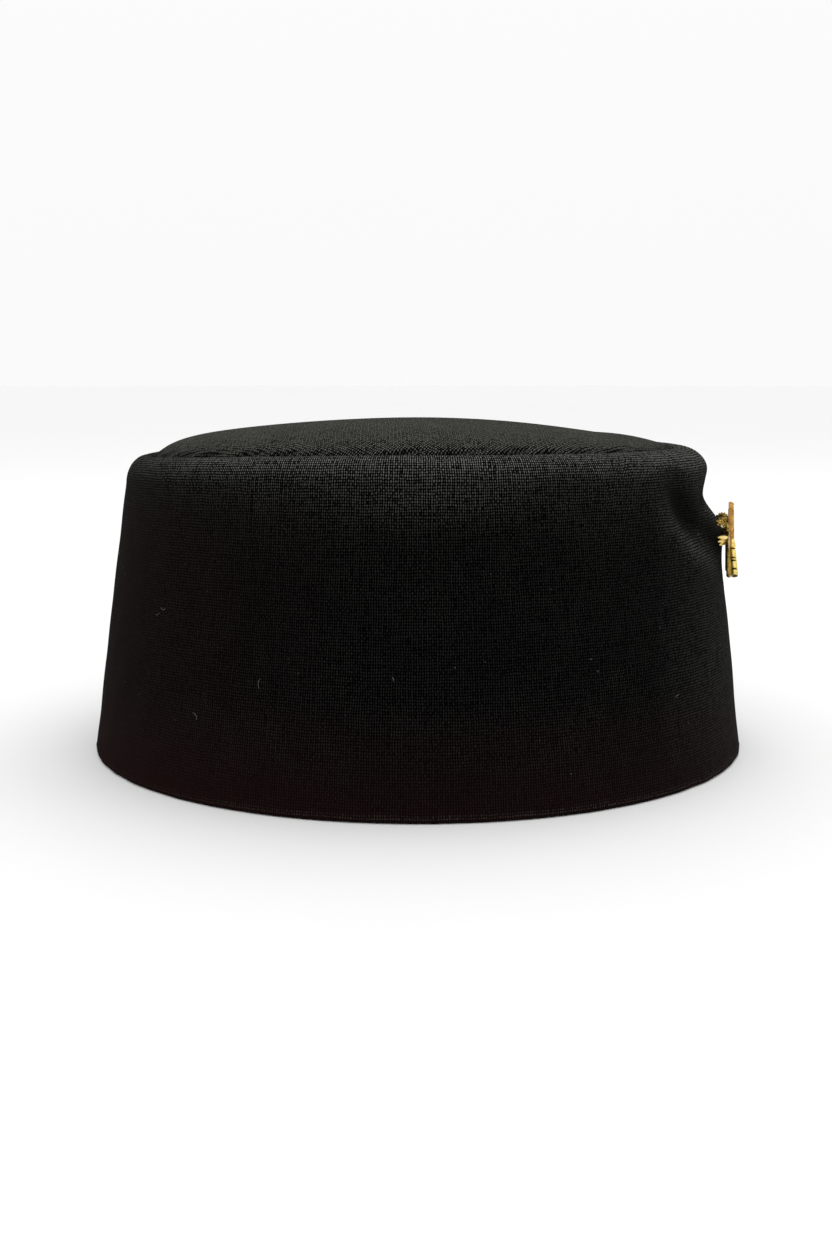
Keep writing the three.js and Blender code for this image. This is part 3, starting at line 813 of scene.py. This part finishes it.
def cloth_material(name, cloth):
    """Black plain weave, its threads laid along the cloth's own millimetres. cloth is a row of CLOTHS."""
    made, tree, shader = material(name)
    uv = tree.nodes.new("ShaderNodeUVMap")
    uv.uv_map = "cloth"
    mapping = tree.nodes.new("ShaderNodeMapping")
    mapping.inputs["Rotation"].default_value = (0, 0, math.radians(cloth["turn"]))
    tree.links.new(uv.outputs["UV"], mapping.inputs["Vector"])
    flat = mapping.outputs[0]
    relief = weave(tree, flat)
    bump(tree, shader, relief, RELIEF_DEPTH)
    lifted = math_node(tree, "MULTIPLY_ADD", relief, LIFT_CONTRAST, -LIFT_FLOOR, clamp=True)
    normal = tree.nodes.new("ShaderNodeNewGeometry").outputs["Normal"]
    coords = tree.nodes.new("ShaderNodeTexCoord").outputs["Object"]
    dust_and_light_cover, near_top = dust_and_top_light_cover(tree, flat, normal, coords)
    dust_and_light_coating = math_node(tree, "MULTIPLY", math_node(tree, "POWER", lifted, DUST_AND_LIGHT_POWER), DUST_AND_LIGHT_GAIN)
    dust_and_top_light = math_node(tree, "MULTIPLY", math_node(tree, "MULTIPLY", dust_and_light_cover, dust_and_light_coating), cloth["dust_and_light"])
    # Painted shade: the thread colour and the dust are darkened in the creases, hollows and beside the badge
    painted_shade = tree.nodes.new("ShaderNodeAttribute")
    painted_shade.attribute_name = "painted_shade"
    shade = math_node(tree, "MULTIPLY_ADD", painted_shade.outputs["Fac"], -PAINTED_SHADE_STRENGTH, 1.0)
    dust_and_top_light = math_node(tree, "MULTIPLY", dust_and_top_light, shade)
    x, _, z = separate(tree, coords)
    backward = math_node(tree, "MULTIPLY", x, -1.0)
    far_back = past(tree, backward, BACK_CLEAN_FROM, BACK_CLEAN_SPREAD, clamp=True)
    clean = math_node(tree, "MULTIPLY_ADD", far_back, -cloth["back_clean"], 1.0)
    dust_and_top_light = math_node(tree, "MULTIPLY", dust_and_top_light, clean)
    # Painted highlight on the thread tops and painted shade in the gaps between them
    colour = mix_colour(tree, math_node(tree, "MULTIPLY", lifted, shade), PAINTED_GAP_SHADE, THREAD_AND_HIGHLIGHT)
    # Dust and painted top light lighten the cloth towards the dust colour
    colour = mix_colour(tree, dust_and_top_light, colour, cloth["dust_and_light_colour"])
    # Painted reflection of a warm surface: the black turns a little russet towards the rim and behind.
    low = past(tree, z, WARM_REFLECTION_HEIGHT, -WARM_REFLECTION_HEIGHT, clamp=True)
    behind = past(tree, backward, WARM_REFLECTION_FROM, WARM_REFLECTION_SPREAD, clamp=True)
    behind = math_node(tree, "MULTIPLY", behind, math_node(tree, "SUBTRACT", 1.0, near_top))
    warm_reflection = math_node(tree, "MULTIPLY_ADD", behind, WARM_REFLECTION_SHARE, math_node(tree, "MULTIPLY", low, WARM_REFLECTION_SHARE), clamp=True)
    tree.links.new(mix_colour(tree, warm_reflection, colour, WARM_REFLECTION_TINT), shader.inputs["Base Color"])
    for socket, value in CLOTH_SURFACE.items():
        shader.inputs[socket].default_value = value
    shader.inputs["Sheen Weight"].default_value = cloth["sheen"]
    return made


def metal_material(name):
    """Cast metal of the METALS table, with a darker tone in its grain."""
    row = METALS[name]
    made, tree, shader = material(name)
    coords = tree.nodes.new("ShaderNodeTexCoord").outputs["Object"]
    fineness = 1 / (row["grain"] * MM)
    grain = noise(tree, coords, fineness, detail=3.0, roughness=0.6)
    tone = noise(tree, coords, TONE_FINENESS * fineness)
    share = math_node(tree, "MULTIPLY_ADD", math_node(tree, "ADD", tone, grain),
                      TONE_CONTRAST, -TONE_FLOOR, clamp=True)
    tree.links.new(mix_colour(tree, share, row["hollow"], row["colour"]), shader.inputs["Base Color"])
    rough = math_node(tree, "MULTIPLY_ADD", grain, GRAIN_ROUGHNESS, row["roughness"])
    tree.links.new(rough, shader.inputs["Roughness"])
    shader.inputs["Metallic"].default_value = 1.0
    bump(tree, shader, grain, row["depth"])
    return made


band = make_band()
band.data.materials.append(cloth_material("black_band_weave", CLOTHS["band"]))
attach(band, "root")
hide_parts("side_band")

panel = make_panel()
panel.data.materials.append(cloth_material("black_panel_weave", CLOTHS["panel"]))
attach(panel, "root")
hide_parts("crown_panel")


# The badge, in its own plane: u across, v up and w out from the cloth, all in millimetres


def loft(rings):
    """A closed shell through rings of points, (rings, points, 3), its ends closed to their middles."""
    rings = np.asarray(rings, dtype=float)
    count, sides = rings.shape[:2]
    verts = np.concatenate([rings.reshape(-1, 3), [rings[0].mean(axis=0), rings[-1].mean(axis=0)]])
    faces = []
    for s in range(sides):
        n = (s + 1) % sides
        for r in range(count - 1):
            a, b = r * sides, (r + 1) * sides
            faces.append([a + s, a + n, b + n, b + s])
        faces.append([count * sides, n, s])
        faces.append([count * sides + 1, (count - 1) * sides + s, (count - 1) * sides + n])
    return verts, faces


def turned(profile, sides):
    """A turned shell: profile rows are (radius, along), along running down -v from the origin."""
    angle = np.linspace(0, 2 * math.pi, sides, endpoint=False)
    return loft([
        np.stack([radius * np.cos(angle), np.full(sides, -along), radius * np.sin(angle)], -1)
        for radius, along in profile
    ])


def tube(path, radii, sides):
    """A round shell along a path of points, with a radius at each."""
    path = np.asarray(path, dtype=float)
    ahead = np.gradient(path, axis=0)
    ahead /= np.linalg.norm(ahead, axis=1, keepdims=True)
    side = np.cross(ahead, np.array([0.31, 0.87, 0.38]))
    side /= np.linalg.norm(side, axis=1, keepdims=True)
    up = np.cross(side, ahead)
    angle = np.linspace(0, 2 * math.pi, sides, endpoint=False)
    spread = side[:, None] * np.cos(angle)[None, :, None] + up[:, None] * np.sin(angle)[None, :, None]
    return loft(path[:, None] + spread * np.asarray(radii)[:, None, None])


def ball(middle, radius, sides, rows):
    """A small round grain."""
    along = np.linspace(0, math.pi, rows + 1)[1:-1]
    angle = np.linspace(0, 2 * math.pi, sides, endpoint=False)
    rings = [
        np.stack([np.sin(a) * np.cos(angle), np.sin(a) * np.sin(angle), np.full(sides, np.cos(a))], -1)
        for a in along
    ]
    return loft(np.asarray(middle) + radius * np.asarray(rings))


def bezier(a, b, c, share):
    """Points of a curve from a to c that b bends."""
    a, b, c = np.asarray(a), np.asarray(b), np.asarray(c)
    share = np.asarray(share)[:, None]
    return (1 - share) ** 2 * a + 2 * share * (1 - share) * b + share**2 * c


def blade_outline(steps):
    """The khukuri's blade, tip up, anticlockwise seen from in front."""
    start = np.array([-BLADE[-1]["x"], 0.0])
    points = []
    for row in BLADE:
        end = np.array([row["x"], row["y"]])
        control = (row["control_x"], row["control_y"])
        points.append(bezier(start, control, end, np.linspace(0, 1, steps, endpoint=False)))
        start = end
    return np.concatenate(points + [[start]])[::-1] * BLADE_LENGTH


def inset(outline, distance):
    """The outline moved inward, held back at sharp corners."""
    before = outline - np.roll(outline, 1, axis=0)
    after = np.roll(outline, -1, axis=0) - outline
    before /= np.linalg.norm(before, axis=1, keepdims=True)
    after /= np.linalg.norm(after, axis=1, keepdims=True)
    normal = np.stack([-(before + after)[:, 1], (before + after)[:, 0]], -1)
    length = np.maximum(np.linalg.norm(normal, axis=1, keepdims=True), SHARPEST_CORNER)
    return outline + distance * normal / length * np.minimum(2 / length, LONGEST_MITRE)


def turn_matrix(axis, degrees):
    return np.array(Matrix.Rotation(math.radians(degrees), 3, axis))


def grip_shell():
    """The turned grip with its rounded segments, and which of its faces are in a groove."""
    rows = []
    for first, second in zip(GRIP, GRIP[1:]):
        share = (1 - np.cos(np.linspace(0, math.pi, GRIP_STEPS, endpoint=False))) / 2
        radius = first["radius"] + (second["radius"] - first["radius"]) * share
        along = first["along"] + (second["along"] - first["along"]) * share
        rows += zip(np.maximum(radius, GRIP_TIP) * GRIP_RADIUS, along * GRIP_LENGTH)
    verts, faces = turned(rows, GRIP_SIDES)
    thin = np.hypot(verts[:, 0], verts[:, 2]) < GROOVE * GRIP_RADIUS
    # Painted shade: faces in the grip's grooves take the near-black gilt
    finish = [GROOVE_SHADE if thin[face].all() else BRIGHT for face in faces]
    return verts @ turn_matrix("X", -GRIP_LIFT).T + (0, 0, GRIP_HEIGHT), faces, finish


def strip_shell():
    """The flat backing of the grip, with its edges eased."""
    corner = STRIP_THICKNESS * STRIP_CORNER
    rings = []
    for up, inward in ((0, corner), (corner, 0), (STRIP_THICKNESS - corner, 0), (STRIP_THICKNESS, corner)):
        wide, high, level = GRIP_RADIUS - inward, GRIP_LENGTH - inward, up - STRIP_BACK
        foot = level + STRIP_WEDGE * up / STRIP_THICKNESS
        rings.append([
            (wide, -high, foot), (wide, -inward, level), (-wide, -inward, level), (-wide, -high, foot),
        ])
    return (*loft(rings), AGED)


def blade_shell():
    """The blade, bevelled all round on both faces."""
    outline = blade_outline(BLADE_STEPS)
    rings = []
    for row in BLADE_SECTION:
        loop = inset(outline, row["inward"])
        rings.append(np.column_stack([loop, np.full(len(loop), row["up"] * BLADE_THICKNESS)]))
    return (*loft(rings), WARM)


def khukuri(side):
    """The shells of one khukuri. side is 1 where the blade leans right."""
    shells = []
    for verts, faces, finish in (blade_shell(), grip_shell(), strip_shell()):
        verts = verts * (side, 1, 1)
        verts = verts @ turn_matrix("Z", -side * CROSS_ANGLE).T
        shells.append((verts + (0, 0, OVERLAP_STEP if side > 0 else 0), faces, finish))
    return shells


def scroll_shells():
    """The granulated scroll and the row of beads on it."""
    ends = [
        np.array([row["out"] * PLATE_LENGTH, row["up"] * BLADE_LENGTH, -row["back"] * BADGE_STANDOFF])
        for row in SCROLL
    ]
    share = np.linspace(0, 1, SCROLL_STEPS)
    radii = SCROLL_RADIUS * (SCROLL_FULLNESS + SCROLL_KNOTS * np.sin(share * SCROLL_KNOT_TURN))
    shells = [(*tube(bezier(*ends, share), radii, SCROLL_SIDES), AGED)]
    for i in range(GRANULES):
        at = (i + 0.5) / GRANULES
        middle = bezier(*ends, [at])[0]
        angle = i * GOLDEN_ANGLE
        ahead = bezier(*ends, [at + LOOK_AHEAD])[0] - middle
        ahead /= np.linalg.norm(ahead)
        across = np.cross(ahead, (0, 0, 1.0))
        across /= np.linalg.norm(across)
        above = np.cross(across, ahead)
        out = across * math.cos(angle) + above * math.sin(angle)
        middle = middle + out * SCROLL_RADIUS * GRANULE_SEAT
        shells.append((*ball(middle, GRANULE_RADIUS, sides=8, rows=5), AGED))
    for i in range(BEADS):
        middle = bezier(*ends, [BEADS_FROM + (1 - BEADS_FROM) * i / BEADS])[0]
        offset = SCROLL_RADIUS * math.sqrt(0.5)
        shells.append((*ball(middle - (0, offset, offset), BEAD_RADIUS, sides=14, rows=9), BRIGHT))
    return shells


def leaf_shells():
    """The fan of ribbed leaves, bent back to the cloth."""
    angle = np.linspace(0, 2 * math.pi, LEAF_SIDES, endpoint=False)
    rib = np.exp(-((np.abs(np.sin(angle)) - 1) ** 2) / LEAF_RIB_WIDTH)
    shells = []
    for row in LEAVES:
        rings = []
        for out in np.linspace(0, 1, LEAF_STEPS)[1:-1]:
            wide = LEAF_RADIUS * math.sin(math.pi * out**LEAF_FULLEST) ** LEAF_BLUNT
            x = np.full(LEAF_SIDES, LEAF_LENGTH * row["share"] * out)
            high = wide * (1 - LEAF_RIB * rib)
            rings.append(np.stack([x, wide * np.cos(angle), high * np.sin(angle)], -1))
        verts, faces = loft(rings)
        verts = verts @ turn_matrix("Y", LEAF_BEND).T @ turn_matrix("Z", row["rise"]).T
        shells.append((verts + (LEAF_ROOT, row["up"] * PLATE_HEIGHT, 0), faces, BRIGHT))
    return shells


def plate_shell():
    """The domed oval plate behind the khukuris."""
    angle = np.linspace(0, 2 * math.pi, PLATE_SIDES, endpoint=False)
    rings = []
    for a in np.linspace(0, math.pi, PLATE_RINGS)[1:-1]:
        wide, high = PLATE_LENGTH / 2 * np.sin(a), PLATE_HEIGHT / 2 * np.sin(a)
        level = np.full(PLATE_SIDES, -PLATE_THICKNESS / 2 * np.cos(a))
        rings.append(np.stack([wide * np.cos(angle), high * np.sin(angle), level], -1))
    return (*loft(rings), AGED)


def post_shell():
    """The post through the cloth, pointed a little at its inner end."""
    profile = [(POST_RADIUS * POST_TIP, 0), (POST_RADIUS, POST_CHAMFER), (POST_RADIUS, POST_LENGTH)]
    verts, faces = turned(profile, GRIP_SIDES)
    verts = verts @ turn_matrix("X", -90).T
    verts[:, 2] = BLADE_THICKNESS / 2 - POST_LENGTH + (verts[:, 2] - verts[:, 2].min())
    return verts, faces, AGED


def onto_cloth(verts):
    """Moves badge points, the cloth at w = 0, to the badge's place on the band, in millimetres."""
    t = math.radians(BADGE_ANGLE)
    height = BADGE_SHARE * BAND_HEIGHT
    plain_height = height / float(form("height", t))
    lean = BAND_LEAN * float(form("lean", t)) * plain_height / SHOULDER
    across = BASE_RADIUS - lean - float(push_in(np.array(t), np.array(plain_height)))
    along = across + EXTRA_LENGTH
    outward = math.atan2(math.sin(t) / across, math.cos(t) / along)
    upright = verts[:, [2, 0, 1]] @ turn_matrix("Z", math.degrees(outward)).T
    return upright + (along * math.cos(t), across * math.sin(t), height)


def make_badge(materials):
    """One casting: the plate, the post, both khukuris and the ornaments."""
    shells = [plate_shell(), post_shell()]
    for side in (1, -1):
        shells += khukuri(side)
        shells += [
            (verts * (side, 1, 1), faces, finish)
            for verts, faces, finish in scroll_shells() + leaf_shells()
        ]
    all_verts, all_faces, finishes = [], [], []
    count = 0
    for verts, faces, finish in shells:
        all_verts.append(verts + (0, 0, BADGE_STANDOFF))
        all_faces += [[count + corner for corner in face] for face in faces]
        finishes += np.broadcast_to(finish, len(faces)).tolist()
        count += len(verts)
    piece = add_mesh("gilt_badge", onto_cloth(np.concatenate(all_verts)), all_faces, materials)
    piece.data.polygons.foreach_set("material_index", finishes)
    work = bmesh.new()
    work.from_mesh(piece.data)
    bmesh.ops.recalc_face_normals(work, faces=work.faces)
    for edge in work.edges:
        if len(edge.link_faces) == 2 and edge.calc_face_angle(0) > math.radians(SHARP_EDGE):
            edge.smooth = False
    work.to_mesh(piece.data)
    work.free()
    return piece


badge = make_badge([metal_material(name) for name in FINISHES])
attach(badge, "root")
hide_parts("khukuri_badge")

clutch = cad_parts["pin_clutch"]
clutch.data.materials.clear()
clutch.data.materials.append(metal_material("satin_clutch"))


def make_lint():
    """Loose fibres and specks that cling to the outside of the band."""
    all_verts, all_faces = [], []
    count = 0
    for kind in (row for row in LINT for _ in range(row["count"])):
        t = chance.uniform(-math.pi, math.pi)
        z = chance.uniform(*LINT_PLACE) * SHOULDER
        length = chance.uniform(*kind["length"])
        radius = chance.uniform(*kind["radius"])
        heading = chance.uniform(0, 2 * math.pi)
        curl = chance.uniform(-LINT_CURL, LINT_CURL)
        share = np.linspace(0, 1, kind["steps"])
        step = length / kind["steps"]
        along = np.cumsum(step * np.cos(heading + curl * share)) / BASE_RADIUS
        up = np.cumsum(step * np.sin(heading + curl * share))
        lift = radius + length * chance.uniform(0, LINT_LIFT) * share**2
        ts, zs = t + along, z + up
        path = band_points(BASE_RADIUS - BAND_LEAN * zs / SHOULDER + lift, zs, ts, 1)
        radii = radius * np.sin(np.linspace(LINT_TIP, math.pi - LINT_TIP, kind["steps"])) ** 0.5
        verts, faces = tube(path, radii, LINT_SIDES)
        all_verts.append(verts)
        all_faces += [[count + corner for corner in face] for face in faces]
        count += len(verts)
    made, tree, shader = material("pale_lint")
    coords = tree.nodes.new("ShaderNodeTexCoord").outputs["Object"]
    tone = noise(tree, coords, LINT_TONE_SCALE)
    tree.links.new(mix_colour(tree, tone, LINT_DARK, LINT_PALE), shader.inputs["Base Color"])
    shader.inputs["Roughness"].default_value = 0.95
    shader.inputs["Specular IOR Level"].default_value = 0.1
    return add_mesh("lint", np.concatenate(all_verts), all_faces, [made])


lint = make_lint()
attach(lint, "root")


def make_floor():
    """A wide pale disc."""
    angle = np.linspace(0, 2 * math.pi, FLOOR_SIDES, endpoint=False)
    radius = FLOOR_RADIUS / MM
    ring = np.stack([radius * np.cos(angle), radius * np.sin(angle), np.zeros(FLOOR_SIDES)], -1)
    made, tree, shader = material("pale_floor")
    coords = tree.nodes.new("ShaderNodeTexCoord").outputs["Object"]
    mottle = noise(tree, coords, FLOOR_MOTTLE, detail=3.0)
    tree.links.new(mix_colour(tree, mottle, FLOOR_DARK, FLOOR_PALE), shader.inputs["Base Color"])
    shader.inputs["Roughness"].default_value = 0.8
    shader.inputs["Specular IOR Level"].default_value = 0.2
    add_mesh("floor", ring, [list(range(FLOOR_SIDES))], [made])


make_floor()


def make_light():
    """One large soft light above, a little to the front of the cap."""
    light = bpy.data.lights.new("top_box", "AREA")
    light.size = LIGHT_SIZE
    light.energy = LIGHT_POWER
    lamp = bpy.data.objects.new("top_box", light)
    lamp.location = LIGHT_PLACE
    lamp.rotation_euler = (Vector(LIGHT_TARGET) - Vector(LIGHT_PLACE)).to_track_quat("-Z", "Y").to_euler()
    bpy.context.scene.collection.objects.link(lamp)


def make_world():
    """A white studio, a shade darker towards the horizon."""
    world = bpy.data.worlds.new("pale_studio")
    world.use_nodes = True
    sky = world.node_tree
    background = sky.nodes["Background"]
    rise = separate(sky, sky.nodes.new("ShaderNodeTexCoord").outputs["Generated"])[2]
    rise = math_node(sky, "MULTIPLY", rise, 1.0, clamp=True)
    sky.links.new(mix_colour(sky, rise, HORIZON, ZENITH), background.inputs["Color"])
    background.inputs["Strength"].default_value = 1.0
    bpy.context.scene.world = world


make_light()
make_world()
bpy.context.scene.view_settings.view_transform = "Standard"
